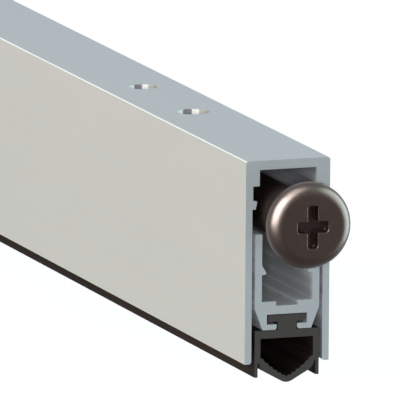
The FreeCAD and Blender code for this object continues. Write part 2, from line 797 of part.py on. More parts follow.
def make_guide_fork():
    """The carrier's block whose uprights slide on the guide post."""
    base_half = arm_inner_half - shoe_gap
    upright_half = post_half_width
    inner = post_half_length + glide_gap
    outer = inner + upright_thickness
    back = -(outer + fork_screw_room())
    fork = Piece("guide_fork", along=post_x)
    base = box_outline(-base_half, floor_z, base_half, seat_z - shoe_gap)
    fork.pad("YZ_Plane", [base], outer - back, shift=back)
    upright = box_outline(-upright_half, floor_z, upright_half, -(top_wall + cam_top_gap))
    for place in (-outer, inner):
        fork.pad("YZ_Plane", [upright], upright_thickness, shift=place)
    well = box_outline(-(post_half_width + glide_gap), web_z, post_half_width + glide_gap, 0)
    fork.cut("YZ_Plane", [well], inner * 2, shift=inner)
    tapped = Round(fork_screw_place(), 0, screw_radius)
    fork.cut("XY_Plane", [tapped], casing_height)


def fork_screw_room():
    return screw_radius * 2 + ear_thickness * 2


def fork_screw_place():
    outer = post_half_length + glide_gap + upright_thickness
    return -(outer + fork_screw_room() / 2)


# Grub screws, two groups of the same screw
def make_grub_screws(label, places, low_z, socket_up):
    """Headless screws standing upright, each with a hexagonal socket at one end."""
    screws = Piece(label, several=True)
    loops = [Round(place, 0, screw_radius) for place in places]
    screws.pad("XY_Plane", loops, screw_length, shift=low_z)
    sockets = [hexagon(place, 0, key_flats) for place in places]
    mouth_level = low_z + screw_length if socket_up else low_z
    screws.cut("XY_Plane", sockets, key_depth, shift=mouth_level, reverse=not socket_up)


make_casing()
make_carrier()
make_gasket()
make_button()
make_insert()
make_ring("guide_retaining_ring", insert_radius, guide_ring_front)
make_guide()
make_push_rod()
make_ring("collar_retaining_ring", rod_radius, collar_inset - ring_thickness)
make_collar()
make_spring()
make_abutment()
make_lock_nut()
make_link_rod()
make_cross_pins()
for side_name, cam_x in (("front", front_cam_x), ("rear", rear_cam_x)):
    make_cam_slider(f"{side_name}_cam_slider", cam_x)
    make_shoe(f"{side_name}_carrier_shoe", cam_x)
    make_shoe_pin(f"{side_name}_shoe_pin", cam_x)
make_guide_post()
make_guide_fork()
abutment_middle = end_x - abutment_front - abutment_length / 2
casing_screw_low = -(top_wall + screw_length)
make_grub_screws("casing_grub_screws", [abutment_middle, post_x], casing_screw_low, False)
shoe_screws = [
    front_cam_x + shoe_screw_place(),
    rear_cam_x + shoe_screw_place(),
    post_x + fork_screw_place(),
]
make_grub_screws("carrier_grub_screws", shoe_screws, floor_z - floor_groove_depth, True)

# Check every object, then write one file for each piece
doc.recompute()
for item in doc.Objects:
    if "Invalid" in item.State or "Error" in item.State:
        raise ValueError(f"{item.Label} failed: {item.State}")
os.makedirs("parts", exist_ok=True)
for piece in pieces:
    shape = piece.body.Shape
    if shape.isNull() or not shape.isValid() or not shape.Solids:
        raise ValueError(f"{piece.body.Label} has no valid solid")
    shape.exportStep(f"parts/{piece.body.Label}.step")
    box = shape.BoundBox
    print(
        f"{piece.body.Label}: {len(shape.Solids)} solid, {shape.Volume:.1f} mm3,"
        f" x {box.XMin:.2f} to {box.XMax:.2f}, y {box.YMin:.2f} to {box.YMax:.2f},"
        f" z {box.ZMin:.2f} to {box.ZMax:.2f}"
    )
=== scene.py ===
# %% [markdown]
# # An automatic door bottom seal
# An aluminium channel sits in a groove under a door. Its brown button is pressed when
# the door shuts, and an inner carrier drops its rubber gasket onto the floor. This
# lesson dresses the finished construction: the construction itself is read in whole
# and never moved. Everything is in metres, X along the seal with the button at +X,
# Y across it, Z up, and the origin in the middle of the casing's top face.

# %% Load the construction
import json
import math

import bmesh
import bpy
import numpy as np
from mathutils import Matrix, Vector


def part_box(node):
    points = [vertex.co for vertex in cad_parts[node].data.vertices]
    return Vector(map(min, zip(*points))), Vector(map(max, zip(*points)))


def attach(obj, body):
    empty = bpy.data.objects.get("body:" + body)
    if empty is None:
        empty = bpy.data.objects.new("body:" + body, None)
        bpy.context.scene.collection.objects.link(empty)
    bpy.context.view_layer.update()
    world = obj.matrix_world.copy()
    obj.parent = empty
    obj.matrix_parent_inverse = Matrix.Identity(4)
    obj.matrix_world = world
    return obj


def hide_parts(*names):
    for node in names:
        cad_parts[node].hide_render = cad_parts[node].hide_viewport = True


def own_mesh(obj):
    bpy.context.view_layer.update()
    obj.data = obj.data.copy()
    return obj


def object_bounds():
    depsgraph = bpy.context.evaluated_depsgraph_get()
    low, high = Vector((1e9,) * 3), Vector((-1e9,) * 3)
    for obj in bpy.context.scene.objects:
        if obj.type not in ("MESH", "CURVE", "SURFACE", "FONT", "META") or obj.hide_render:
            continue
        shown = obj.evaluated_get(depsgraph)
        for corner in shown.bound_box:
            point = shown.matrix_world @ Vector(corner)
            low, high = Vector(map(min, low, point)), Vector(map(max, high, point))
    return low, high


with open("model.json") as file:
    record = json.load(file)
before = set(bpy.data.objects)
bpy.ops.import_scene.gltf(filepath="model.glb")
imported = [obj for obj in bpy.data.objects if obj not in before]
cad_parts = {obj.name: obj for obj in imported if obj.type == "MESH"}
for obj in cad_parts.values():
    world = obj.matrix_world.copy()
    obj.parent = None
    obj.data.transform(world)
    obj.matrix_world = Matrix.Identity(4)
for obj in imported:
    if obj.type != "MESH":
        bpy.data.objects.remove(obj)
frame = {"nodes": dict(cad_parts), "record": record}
nodes = frame["nodes"]
cad_low, cad_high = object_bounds()
print("construction box", tuple(cad_low), tuple(cad_high))

# %% [markdown]
# ## Sizes read from the construction
# Patterns such as saw marks on a cut end need to know where that end is. These places
# come from the boxes of the pieces, so they can't drift away from the construction.

# %% Read the sizes that the finishes need
MM = 0.001
casing_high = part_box("casing")[1]
button_low, button_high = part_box("plunger_button")
end_x = casing_high[0]
rod_z = (button_low[2] + button_high[2]) / 2
head_front_x = button_high[0]
half_width = casing_high[1]
print("casing end", end_x, "rod axis", rod_z, "head front", head_front_x)

# %% [markdown]
# ## A camera at the photograph's angle
# The picture was taken from far away with a long lens: the seal's long edges hardly
# draw together. The angles below were found by fitting the edges of a 13 by 30 mm
# section to the picture, with the lens held at 1600 mm.

# %% Camera
lens_length = 1600.0
film_width = 36.0
camera_azimuth = math.radians(70.199)
camera_elevation = math.radians(10.432)
camera_roll = math.radians(0.437)
camera_distance = 2578.86 * MM
camera_side = 12.817 * MM
camera_rise = 5.913 * MM


def camera_axes(azimuth, elevation, roll):
    """Rightward, upward and forward directions of a camera turned by three angles."""
    forward = Vector((
        -math.sin(azimuth) * math.cos(elevation),
        math.cos(azimuth) * math.cos(elevation),
        -math.sin(elevation),
    ))
    level = Vector((math.cos(azimuth), math.sin(azimuth), 0.0))
    rise = level.cross(forward)
    right = level * math.cos(roll) + rise * math.sin(roll)
    up = rise * math.cos(roll) - level * math.sin(roll)
    return right, up, forward


def add_camera():
    """A camera that looks past the button end of the casing's top face."""
    right, up, forward = camera_axes(camera_azimuth, camera_elevation, camera_roll)
    lens = bpy.data.cameras.new("camera")
    lens.lens = lens_length
    lens.sensor_width = film_width
    camera = bpy.data.objects.new("camera", lens)
    bpy.context.scene.collection.objects.link(camera)
    aim = Vector((end_x, 0.0, 0.0))
    place = aim - right * camera_side - up * camera_rise - forward * camera_distance
    turn = Matrix((right, up, -forward)).transposed()
    camera.matrix_world = Matrix.Translation(place) @ turn.to_4x4()
    bpy.context.scene.camera = camera
    return camera


camera = add_camera()
print("camera at", tuple(round(value, 4) for value in camera.location))

# %% [markdown]
# ## Shader arithmetic
# A finish is easier to read as a sum than as a list of nodes. A Wire wraps one socket,
# and adding or multiplying wires adds the Math nodes. Every other node comes from its
# one method, node, which takes the type, the settings and the sockets.

# %% The Wire class
class Wire:
    """One shader socket that takes part in plain arithmetic."""

    def __init__(self, tree, socket=None):
        self.tree = tree
        self.socket = socket

    def node(self, kind, settings=(), sockets=(), output=0):
        """Adds a node, sets it up, links or fills its sockets and wraps one output."""
        made = self.tree.nodes.new("ShaderNode" + kind)
        for name, value in dict(settings).items():
            if name == "stops":
                fill_ramp(made.color_ramp, value)
            else:
                setattr(made, name, value)
        for name, value in dict(sockets).items():
            if isinstance(value, Wire):
                self.tree.links.new(value.socket, made.inputs[name])
            else:
                made.inputs[name].default_value = value
        return Wire(self.tree, made.outputs[output])

    def vector(self, operation, first, second):
        return self.node("VectorMath", {"operation": operation}, {0: first, 1: second})

    def maths(self, operation, first, second=0.0):
        return self.node("Math", {"operation": operation}, {0: first, 1: second})

    def __add__(self, other):
        return self.maths("ADD", self, other)

    def __radd__(self, other):
        return self.maths("ADD", other, self)

    def __sub__(self, other):
        return self.maths("SUBTRACT", self, other)

    def __rsub__(self, other):
        return self.maths("SUBTRACT", other, self)

    def __mul__(self, other):
        return self.maths("MULTIPLY", self, other)

    def __rmul__(self, other):
        return self.maths("MULTIPLY", other, self)

    def __gt__(self, other):
        return self.maths("GREATER_THAN", self, other)

    def __lt__(self, other):
        return self.maths("LESS_THAN", self, other)

    def size(self):
        """The wire's value without its sign."""
        return self.maths("ABSOLUTE", self)

    def distance(self, other):
        """How far the point with these two places lies from the origin."""
        return self.maths("SQRT", self * self + other * other)

    def wave(self, length):
        """A smooth wave between 0 and 1 that repeats after a length."""
        return self.maths("SINE", self * (2 * math.pi / length)) * 0.5 + 0.5

    def between(self, low, high):
        """0 at low and under, 1 at high and over, and a straight ramp between them."""
        sockets = {"Value": self, "From Min": low, "From Max": high}
        return self.node("MapRange", {}, sockets)

    def colour(self, first, second):
        """The first colour where this wire is 0 and the second where it is 1.

        A Mix node keeps its two colours at inputs 6 and 7 and the result at output 2.
        """
        settings = {"data_type": "RGBA"}
        return self.node("Mix", settings, {0: self, 6: first, 7: second}, output=2)


def fill_ramp(ramp, stops):
    """Sets a colour ramp's stops from pairs of place and colour."""
    while len(ramp.elements) < len(stops):
        ramp.elements.new(0.5)
    for element, (place, colour) in zip(ramp.elements, stops):
        element.position = place
        element.color = colour


def rgb(red, green, blue):
    """An opaque colour."""
    return (red, green, blue, 1.0)


# %% [markdown]
# ## Starting a finish
# Each finish is a Principled surface that reads Object coordinates. The pieces keep
# their place in their meshes, so those coordinates are metres in the seal's own frame
# and a pattern neither stretches nor slides when a piece moves.

# %% Start a finish
def start_finish(name):
    """A new material, its Principled node and a Wire to draw with."""
    material = bpy.data.materials.new(name)
    material.use_nodes = True
    tree = material.node_tree
    surface = tree.nodes["Principled BSDF"]
    return material, surface, Wire(tree)


def feed(draw, surface, **inputs):
    """Links wires, or sets plain values, on the Principled node's sockets."""
    for name, value in inputs.items():
        socket = surface.inputs[name.replace("_", " ")]
        if isinstance(value, Wire):
            draw.tree.links.new(value.socket, socket)
        else:
            socket.default_value = value


def place_of(draw):
    """Object coordinates."""
    return draw.node("TexCoord", output="Object")


def parts_of(draw, place):
    """The X, Y and Z of a place, as three wires."""
    return [draw.node("SeparateXYZ", {}, {0: place}, output=axis) for axis in "XYZ"]


def noise(draw, place, scale, detail=3.0, roughness=0.5):
    """Noise from 0 to 1 with about scale blotches to the metre."""
    sockets = {"Vector": place, "Scale": scale, "Detail": detail, "Roughness": roughness}
    return draw.node("TexNoise", {}, sockets)


def stretched(draw, place, along, across):
    """Coordinates scaled by one number along the seal and by another across it."""
    return draw.vector("MULTIPLY", place, (along, across, across))


def bump(draw, height, distance):
    """A normal that follows a height from 0 to 1, which stands for a distance."""
    sockets = {"Height": height, "Distance": distance, "Strength": 1.0}
    return draw.node("Bump", {}, sockets)


# %% [markdown]
# ## Extruded aluminium
# A die leaves fine straight lines along the whole length, a saw leaves faint arcs on
# the cut ends, and the hole walls carry a painted reflection, brighter than the skin.
# All three are drawn in place: the lines change only across the section, the arcs are
# distances from a point where the saw's centre would be, and the walls are found by
# their radius.

# %% Die lines and saw marks
saw_y = -110.0 * MM
saw_z = 90.0 * MM
saw_pitch = 0.42 * MM
just_inside = 0.02 * MM


def die_lines(draw, place, density, stray):
    """Noise that hardly changes along X: scale stray along the length, density across."""
    along = stretched(draw, place, stray, density)
    return noise(draw, along, scale=1.0, detail=4.0, roughness=0.65)


def saw_marks(parts):
    """A wave over the distance from the blade's centre, for the two cut ends."""
    return (parts[1] - saw_y).distance(parts[2] - saw_z).wave(saw_pitch)


def on_cut_end(parts):
    """1 on the two cut ends of the seal and 0 everywhere else."""
    return parts[0].size() > end_x - just_inside


# %% [markdown]
# The casing is satin anodised. It is nearly even in colour: a slow drift of a percent
# or two along the length keeps it from looking painted, and the roughness carries most
# of the detail, which shows when the light grazes the long face. Inside the channel the
# die leaves broader streaks, dark and light, which the eye sees along their length, and
# the level there is set apart from the skin as painted shade and light: darker in the
# casing, a little paler in the carrier.

# %% Where the casing's holes and edges are
hole_depth = 1.42 * MM
wall_margin = 0.06 * MM
bevel_width = 0.17 * MM
skin_margin = 0.3 * MM
# The level direction across which the painted reflection bands on the hole walls are laid.
reflection_dir_x, reflection_dir_y = 0.34, 0.94


def find_holes():
    """Distance from the middle and radius of each pair of fixing holes."""
    found = []
    for mount in frame["record"]["mounts"]:
        if mount["kind"] == "bolt_pattern":
            sizes = mount["dims"]
            found.append((sizes["spacing_x_mm"] / 2 * MM, sizes["hole_r_mm"] * MM))
    return found


def hole_walls(parts):
    """1 on the drilled walls, and a place from 0 to 1 that picks the painted reflection
    there.

    The place is how far a point of the wall lies along one level direction, which is the
    camera's level rightward one, as a share of the hole's width.
    """
    inside = None
    reflection_place = None
    depth = (parts[2] < -just_inside) * (parts[2] > -hole_depth)
    for hole_x, radius in find_holes():
        across = parts[0].size() - hole_x
        wall = (across.distance(parts[1]) < radius + wall_margin) * depth
        sideways = (across * reflection_dir_x + parts[1] * reflection_dir_y) * (0.5 / radius) + 0.5
        inside = wall if inside is None else inside + wall
        reflection_place = wall * sideways if reflection_place is None else reflection_place + wall * sideways
    return inside, reflection_place


def top_edges(parts):
    """1 on the two long bevels where the side faces meet the top face."""
    return (parts[1].size() > half_width - bevel_width) * (parts[2] > -bevel_width)


def inner_walls(parts):
    """1 inside the channel, which is everything a little in from the outer skin."""
    return (parts[1].size() < half_width - skin_margin) * (parts[2] < -skin_margin)


print("fixing holes", find_holes())

# %% [markdown]
# The hole walls carry a painted reflection in upright bands of light and dark. They
# are the stops of a ramp, read by how far across the hole a point of the wall lies, so
# they stay where they are when the light moves. The bevel along the top is painted near
# white and metallic, a painted highlight that reads as a thin white line.

# %% The aluminium finishes
# Painted highlight: the top bevel is near white and metallic so it reads as a white line.
painted_edge_highlight = rgb(0.97, 0.97, 0.96)
# Painted reflection: the light and dark bands that the hole walls show.
painted_hole_reflections = [
    (0.02, rgb(0.92, 1.0, 1.0)),
    (0.18, rgb(0.96, 1.0, 1.0)),
    (0.20, rgb(0.40, 0.40, 0.41)),
    (0.45, rgb(0.48, 0.48, 0.48)),
    (0.47, rgb(1.0, 1.0, 1.0)),
    (0.67, rgb(1.0, 1.0, 1.0)),
    (0.69, rgb(0.71, 0.71, 0.69)),
    (0.86, rgb(0.66, 0.66, 0.64)),
    (0.90, rgb(0.54, 0.54, 0.53)),
]


def aluminium_finish(name, skin_shades, inner_streaks_and_shade, end_shades, rough, density):
    """Satin aluminium: die lines on the skin and faint saw arcs on the cut ends."""
    material, surface, draw = start_finish(name)
    place = place_of(draw)
    parts = parts_of(draw, place)
    lines = die_lines(draw, place, density, stray=density * 0.001)
    grain = noise(draw, place, scale=5200.0, detail=2.0)
    drift = noise(draw, stretched(draw, place, along=14.0, across=60.0), scale=1.0)
    ends = on_cut_end(parts)
    marks = saw_marks(parts)
    holes, reflection_place = hole_walls(parts)
    edges = top_edges(parts)
    skin = (drift * 0.4 + lines * 0.6).between(0.35, 0.65).colour(*skin_shades)
    streaks = die_lines(draw, place, density=620.0, stray=2.0).between(0.36, 0.64)
    # Inside the channel: broader die streaks, at a level set as painted shade and light.
    skin = inner_walls(parts).colour(skin, streaks.colour(*inner_streaks_and_shade))
    cut = (marks * 0.25 + grain * 0.75).between(0.1, 0.9).colour(*end_shades)
    shade = edges.colour(ends.colour(skin, cut), painted_edge_highlight)
    # The hole walls' colour is the painted reflection, picked from the ramp by place.
    wall = reflection_place.node("ValToRGB", {"stops": painted_hole_reflections}, {0: reflection_place})
    feed(
        draw, surface,
        Base_Color=holes.colour(shade, wall),
        Roughness=rough + (lines - 0.5) * 0.16 + (grain - 0.5) * 0.10 + holes * 0.42,
        Metallic=0.12 + holes * 0.80 + edges * 0.85,
        Normal=bump(draw, lines * 0.5 + grain * 0.25 + ends * marks * 0.12, 0.01 * MM),
        Specular_IOR_Level=0.2,
    )
    return material


# Cut ends: darker and cooler than the skin, partly the sawn surface and partly painted shade
# of the end face.
sawn_end_and_shade = (rgb(0.408, 0.446, 0.452), rgb(0.445, 0.483, 0.489))
casing_finish = aluminium_finish(
    "satin_anodised",
    skin_shades=(rgb(0.575, 0.590, 0.580), rgb(0.600, 0.615, 0.605)),
    inner_streaks_and_shade=(rgb(0.36, 0.37, 0.385), rgb(0.64, 0.655, 0.67)),
    end_shades=sawn_end_and_shade,
    rough=0.48,
    density=2600.0,
)
carrier_finish = aluminium_finish(
    "mill_extruded",
    skin_shades=(rgb(0.50, 0.52, 0.53), rgb(0.74, 0.76, 0.77)),
    inner_streaks_and_shade=(rgb(0.50, 0.51, 0.52), rgb(0.80, 0.81, 0.825)),
    end_shades=sawn_end_and_shade,
    rough=0.36,
    density=1500.0,
)
print("aluminium finishes made")

# %% [markdown]
# ## Extruded rubber
# The gasket is black rubber, matt on its skin with faint drag lines from the die. Its
# cut ends are a shade lighter and finely pitted, which is why the end face reads as
# dark grey in the photograph while the long sides stay nearly black.

# %% The gasket's finish
rubber_shades = (rgb(0.006, 0.0035, 0.003), rgb(0.028, 0.019, 0.016))
cut_rubber_shades = (rgb(0.057, 0.053, 0.048), rgb(0.082, 0.077, 0.070))


def rubber_finish():
    """Black rubber: drag lines and a dull bloom on the skin, pits on the cut ends."""
    material, surface, draw = start_finish("extruded_rubber")
    place = place_of(draw)
    lines = die_lines(draw, place, density=3800.0, stray=5.0)
    drag = die_lines(draw, place, density=900.0, stray=2.0)
    pits = noise(draw, place, scale=7000.0, roughness=0.6)
    bloom = noise(draw, stretched(draw, place, along=30.0, across=240.0), scale=1.0)
    skin = (bloom * 0.2 + lines * 0.2 + drag * 0.6).between(0.38, 0.62)
    skin = skin.colour(*rubber_shades)
    cut = pits.between(0.3, 0.7).colour(*cut_rubber_shades)
    feed(
        draw, surface,
        Base_Color=on_cut_end(parts_of(draw, place)).colour(skin, cut),
        Roughness=0.80 + (lines - 0.5) * 0.2,
        Normal=bump(draw, lines * 0.6 + pits * 0.5, 0.03 * MM),
        Specular_IOR_Level=0.08,
    )
    return material


gasket_finish = rubber_finish()

# %% [markdown]
# ## The moulded button
# The button is dark brown with a satin skin. Its recess is painted darker, as painted
# shade, the flat face has a trace of the round texture of the mould, and the rim is a
# little lighter, partly as wear and partly as a painted highlight that widens its sheen.
# The barrel is painted lighter further in, because little light reaches it there: this
# is painted light.

# %% The button's finish
rim_start = 4.4 * MM
rim_end = 6.3 * MM
recess_reach = 3.5 * MM
mould_pitch = 0.22 * MM
wear_and_sheen_start = end_x + 5.0 * MM
barrel_painted_light_start = end_x + 1.0 * MM
barrel_painted_light_length = 10.0 * MM
brown_shades = (rgb(0.013, 0.0040, 0.0025), rgb(0.018, 0.0065, 0.0045))
# Wear and painted sheen: a lighter rim that also widens the highlight.
wear_and_sheen_brown = rgb(0.026, 0.016, 0.013)
# Painted light: the barrel is painted lighter where little light reaches it.
barrel_painted_light = rgb(0.220, 0.112, 0.086)
# Painted shade: the recess is painted darker than the face.
recess_painted_shade = rgb(0.008, 0.002, 0.0015)


def brown_satin_finish():
    """Brown plastic: mottled, wear and painted sheen on the rim, painted shade in the
    recess, painted light far in.
    """
    material, surface, draw = start_finish("brown_satin")
    place = place_of(draw)
    along, across, height = parts_of(draw, place)
    reach = across.distance(height - rod_z)
    mould_rings = reach.wave(mould_pitch)
    grain = noise(draw, place, scale=3000.0, detail=4.0, roughness=0.6)
    cloud = noise(draw, place, scale=420.0, detail=2.0)
    # deep marks the recess, which takes the painted shade and a little less roughness.
    deep = (head_front_x - along).between(0.0, just_inside) * (reach < recess_reach)
    # From 0 near the head to 1 far in, where the barrel takes the painted light.
    barrel_painted_light_ramp = (barrel_painted_light_start - along).between(0.0, barrel_painted_light_length)
    # The rim ring, lighter as wear and as painted sheen.
    rim_wear_and_sheen = reach.between(rim_start, rim_end) * (along > wear_and_sheen_start)
    skin = (cloud * 0.7 + grain * 0.3).between(0.3, 0.7).colour(*brown_shades)
    skin = barrel_painted_light_ramp.colour(rim_wear_and_sheen.colour(skin, wear_and_sheen_brown), barrel_painted_light)
    feed(
        draw, surface,
        Base_Color=deep.colour(skin, recess_painted_shade),
        Roughness=0.35 + (grain - 0.5) * 0.10 - deep * 0.07,
        Normal=bump(draw, grain * 0.5 + mould_rings * 0.12, 0.01 * MM),
        Specular_IOR_Level=0.18,
        Specular_Tint=rgb(1.0, 0.84, 0.77),
    )
    return material


button_finish = brown_satin_finish()
print("rubber and button finishes made")

# %% [markdown]
# ## Pieces inside
# The mechanism hides in the channel, but it is seen from the far end, through the
# holes and when the carrier drops. Drawn rods have lines along them, turned and plated
# pieces have a fine crystal mottle, and the moulded sliders are matt and slightly
# cloudy.

# %% Finishes of the inner pieces
def metal_finish(name, dark, light, rough, density):
    """Plain metal: fine lines along X and a mottle, between two shades."""
    material, surface, draw = start_finish(name)
    place = place_of(draw)
    lines = die_lines(draw, place, density, stray=density * 0.05)
    mottle = noise(draw, place, scale=1500.0, detail=4.0, roughness=0.6)
    feed(
        draw, surface,
        Base_Color=(lines * 0.4 + mottle * 0.6).between(0.3, 0.7).colour(dark, light),
        Roughness=rough + (mottle - 0.5) * 0.2,
        Metallic=1.0,
        Normal=bump(draw, lines * 0.4 + mottle * 0.4, 0.02 * MM),
    )
    return material


def moulded_finish(name, dark, light, rough):
    """Moulded plastic: a soft cloudiness and a fine sparked texture."""
    material, surface, draw = start_finish(name)
    place = place_of(draw)
    cloud = noise(draw, place, scale=260.0, detail=2.0)
    spark = noise(draw, place, scale=4200.0, roughness=0.7)
    feed(
        draw, surface,
        Base_Color=cloud.between(0.35, 0.65).colour(dark, light),
        Roughness=rough + (spark - 0.5) * 0.2,
        Normal=bump(draw, spark, 0.02 * MM),
    )
    return material


turned_brass = metal_finish(
    "turned_brass", rgb(0.62, 0.45, 0.18), rgb(0.76, 0.58, 0.27), rough=0.32, density=900.0)
oiled_steel = metal_finish(
    "oiled_steel", rgb(0.20, 0.20, 0.21), rgb(0.33, 0.33, 0.34), rough=0.34, density=1200.0)
plated_steel = metal_finish(
    "plated_steel", rgb(0.52, 0.53, 0.54), rgb(0.66, 0.66, 0.65), rough=0.30, density=1600.0)
grey_moulded = moulded_finish(
    "grey_moulded", rgb(0.40, 0.40, 0.385), rgb(0.46, 0.46, 0.44), rough=0.48)
cast_zinc = metal_finish(
    "cast_zinc", rgb(0.36, 0.37, 0.38), rgb(0.46, 0.47, 0.48), rough=0.52, density=300.0)
print("finishes of the inner pieces made")

# %% [markdown]
# ## Dress the construction
# The record names a material slot for every piece. Each slot gets the finish made for
# it, and pieces that share a slot share the finish.

# %% Put the finishes on
slot_finishes = {
    "anodised_aluminium": casing_finish,
    "mill_aluminium": carrier_finish,
    "black_rubber": gasket_finish,
    "brown_button": button_finish,
    "brass": turned_brass,
    "spring_steel": oiled_steel,
    "rod_steel": plated_steel,
    "grey_acetal": grey_moulded,
    "die_cast_zinc": cast_zinc,
}
for part in frame["record"]["subparts"]:
    mesh = nodes[part["node"]].data
    mesh.materials.clear()
    mesh.materials.append(slot_finishes[part["material_slot"]])
print("dressed", len(nodes), "pieces")

# %% [markdown]
# ## The button's head, barrel and recess
# The real button is one moulding: a round head with a cross for a screwdriver, on a
# barrel. It could be a lathed outline with a cross cut away, but a cut leaves hard
# edges that never catch the light. Here it is one surface of rings instead. The first
# rings follow the cross, the later ones are circles, and the rings between them slide
# along straight rays, which can't cross because the cross is seen whole from its
# middle.

# %% Points round the cross
recess_tall = 6.34 * MM
recess_wide = 4.80 * MM
recess_upright = 1.60 * MM
recess_level = 1.67 * MM
tip_round = 0.42 * MM
inner_round = 0.12 * MM


def rounded_corner(corner, before, after, radius, count):
    """Places and outward normals on the arc that rounds one corner.

    The arc's middle lies radius from both sides. Its points are that middle plus
    radius times a unit vector that swings from one side's normal to the other's.
    """
    into = (corner - before) / np.linalg.norm(corner - before)
    out = (after - corner) / np.linalg.norm(after - corner)
    turn = np.sign(into[0] * out[1] - into[1] * out[0])
    first = np.array([into[1], -into[0]])
    middle = corner - into * radius + turn * radius * np.array([-into[1], into[0]])
    swing = turn * np.linspace(0.0, math.pi / 2, count)
    spun = np.stack([first[0] * np.cos(swing) - first[1] * np.sin(swing),
                     first[0] * np.sin(swing) + first[1] * np.cos(swing)], axis=1)
    return middle + turn * radius * spun, spun


def cross_contour(corner_count=7, side_count=11):
    """The recess's mouth, anticlockwise, as places and outward normals."""
    a, b = recess_upright / 2, recess_tall / 2
    c, d = recess_wide / 2, recess_level / 2
    corners = np.array([(c, -d), (c, d), (a, d), (a, b), (-a, b), (-a, d),
                        (-c, d), (-c, -d), (-a, -d), (-a, -b), (a, -b), (a, -d)])
    rounds = [tip_round, tip_round, inner_round] * 4
    arcs = []
    for index, corner in enumerate(corners):
        before, after = corners[index - 1], corners[(index + 1) % len(corners)]
        arcs.append(rounded_corner(corner, before, after, rounds[index], corner_count))
    share = np.linspace(0.0, 1.0, side_count)[1:-1, None]
    places, normals = [], []
    for index, (arc, spun) in enumerate(arcs):
        start = arcs[(index + 1) % len(arcs)][0][0]
        places += [arc, arc[-1] + (start - arc[-1]) * share]
        normals += [spun, np.repeat(spun[-1:], len(share), axis=0)]
    return np.concatenate(places), np.concatenate(normals)


cross_places, cross_normals = cross_contour()
print("points round the cross:", len(cross_places))

# %% [markdown]
# Each ring has a place along the axis, a widening of the cross, a radius, and a share
# that says how far it has gone from cross to circle. The rings are listed from the
# recess's floor outwards, over the rim, along the barrel and back up its bore. A ring
# of its own close to each softened edge keeps the flat beside it flat, because smooth
# shading would otherwise bend the light over the whole face.

# %% The button's rings
recess_depth = 1.6 * MM
softening = 0.02 * MM
support = 0.04 * MM
head_radius = (button_high[2] - button_low[2]) / 2
head_depth = 3.45 * MM
rim_front = 1.85 * MM
rim_back = 1.1 * MM
neck = 0.25 * MM
barrel_radius = 3.8 * MM
barrel_length = 23.0 * MM
barrel_bevel = 0.2 * MM
bore_radius = 2.8 * MM
bore_seat = 4.0 * MM


def quarter_turn(start_x, start_r, stop_x, stop_r, hollow, count):
    """Places along a quarter of an ellipse between two points of the outline."""
    swing = np.linspace(0.0, math.pi / 2, count)
    slow, fast = 1.0 - np.cos(swing), np.sin(swing)
    if hollow:
        slow, fast = fast, slow
    return np.stack([start_x + (stop_x - start_x) * slow,
                     start_r + (stop_r - start_r) * fast], axis=1)


def rings_from(place, widening=0.0, radius=0.0, share=0.0):
    """Rows of place, widening, radius and share, from single values or arrays."""
    return np.stack(np.broadcast_arrays(place, widening, radius, share), axis=-1)


def recess_rings():
    """The recess: its floor, grown from the middle, and its wall with two soft edges.

    A share below 0 shrinks the cross: at share s its size is 1 + s.
    """
    front, floor = head_front_x, head_front_x - recess_depth
    foot = quarter_turn(floor, -softening, floor + softening, 0.0, False, 5)
    mouth = quarter_turn(front - softening, 0.0, front, softening, False, 7)
    wall = np.concatenate([
        foot[1:],
        [(floor + softening + support, 0.0), (front - softening - support, 0.0)],
        mouth,
        [(front, softening + support)],
    ])
    return np.concatenate([
        rings_from(floor, -softening, share=np.linspace(-1.0, 0.0, 6)[1:]),
        rings_from(wall[:, 0], wall[:, 1]),
    ])


def face_rings():
    """The flat face, where the share goes from the cross's 0 to the circle's 1."""
    share = np.linspace(0.0, 1.0, 9)[1:]
    return rings_from(head_front_x, softening + support, head_radius - rim_front, share)


def turned_rings():
    """The round parts: rim, back of the head, barrel and bore, as place and radius."""
    front, back = head_front_x, head_front_x - head_depth
    tail, seat = end_x - barrel_length, end_x - bore_seat
    face_radius, back_radius = head_radius - rim_front, head_radius - rim_back
    outline = np.concatenate([
        quarter_turn(front, face_radius, front - rim_front, head_radius, False, 15)[1:],
        quarter_turn(back + rim_back, head_radius, back, back_radius, True, 9),
        [(back, barrel_radius + neck), (back - neck, barrel_radius)],
        [(tail + barrel_bevel, barrel_radius), (tail, barrel_radius - barrel_bevel)],
        [(tail, bore_radius), (seat, bore_radius)],
    ])
    return rings_from(outline[:, 0], radius=outline[:, 1], share=1.0)


rings = np.concatenate([recess_rings(), face_rings(), turned_rings()])
print("rings:", len(rings), "head radius:", head_radius)

# %% [markdown]
# A grid of rings becomes a mesh the same way every time: neighbouring rings are joined
# by quads, and the first and last ring are each closed with a fan round a pole point.
# The faces are then turned outwards, because the order of the points decides their side.

# %% Make a mesh from rings
def ring_mesh(name, places):
    """A smooth tube mesh from an array of rings, closed by a pole point at each end."""
    rows, columns = places.shape[:2]
    points = places.reshape(-1, 3)
    column = np.arange(columns)
    after = np.roll(column, -1)
    low = (np.arange(rows - 1) * columns)[:, None]
    quads = np.stack([low + column, low + after, low + columns + after,
                      low + columns + column], axis=-1).reshape(-1, 4)
    first, last = len(points), len(points) + 1
    top = (rows - 1) * columns
    first_fan = np.stack([after, column, np.full(columns, first)], axis=-1)
    last_fan = np.stack([top + column, top + after, np.full(columns, last)], axis=-1)
    points = np.concatenate([points, places[0].mean(0)[None], places[-1].mean(0)[None]])
    faces = quads.tolist() + first_fan.tolist() + last_fan.tolist()
    mesh = bpy.data.meshes.new(name)
    mesh.from_pydata(points.tolist(), [], faces)
    mesh.update()
    mesh.polygons.foreach_set("use_smooth", np.ones(len(mesh.polygons), dtype=bool))
    piece = bpy.data.objects.new(name, mesh)
    bpy.context.scene.collection.objects.link(piece)
    return piece


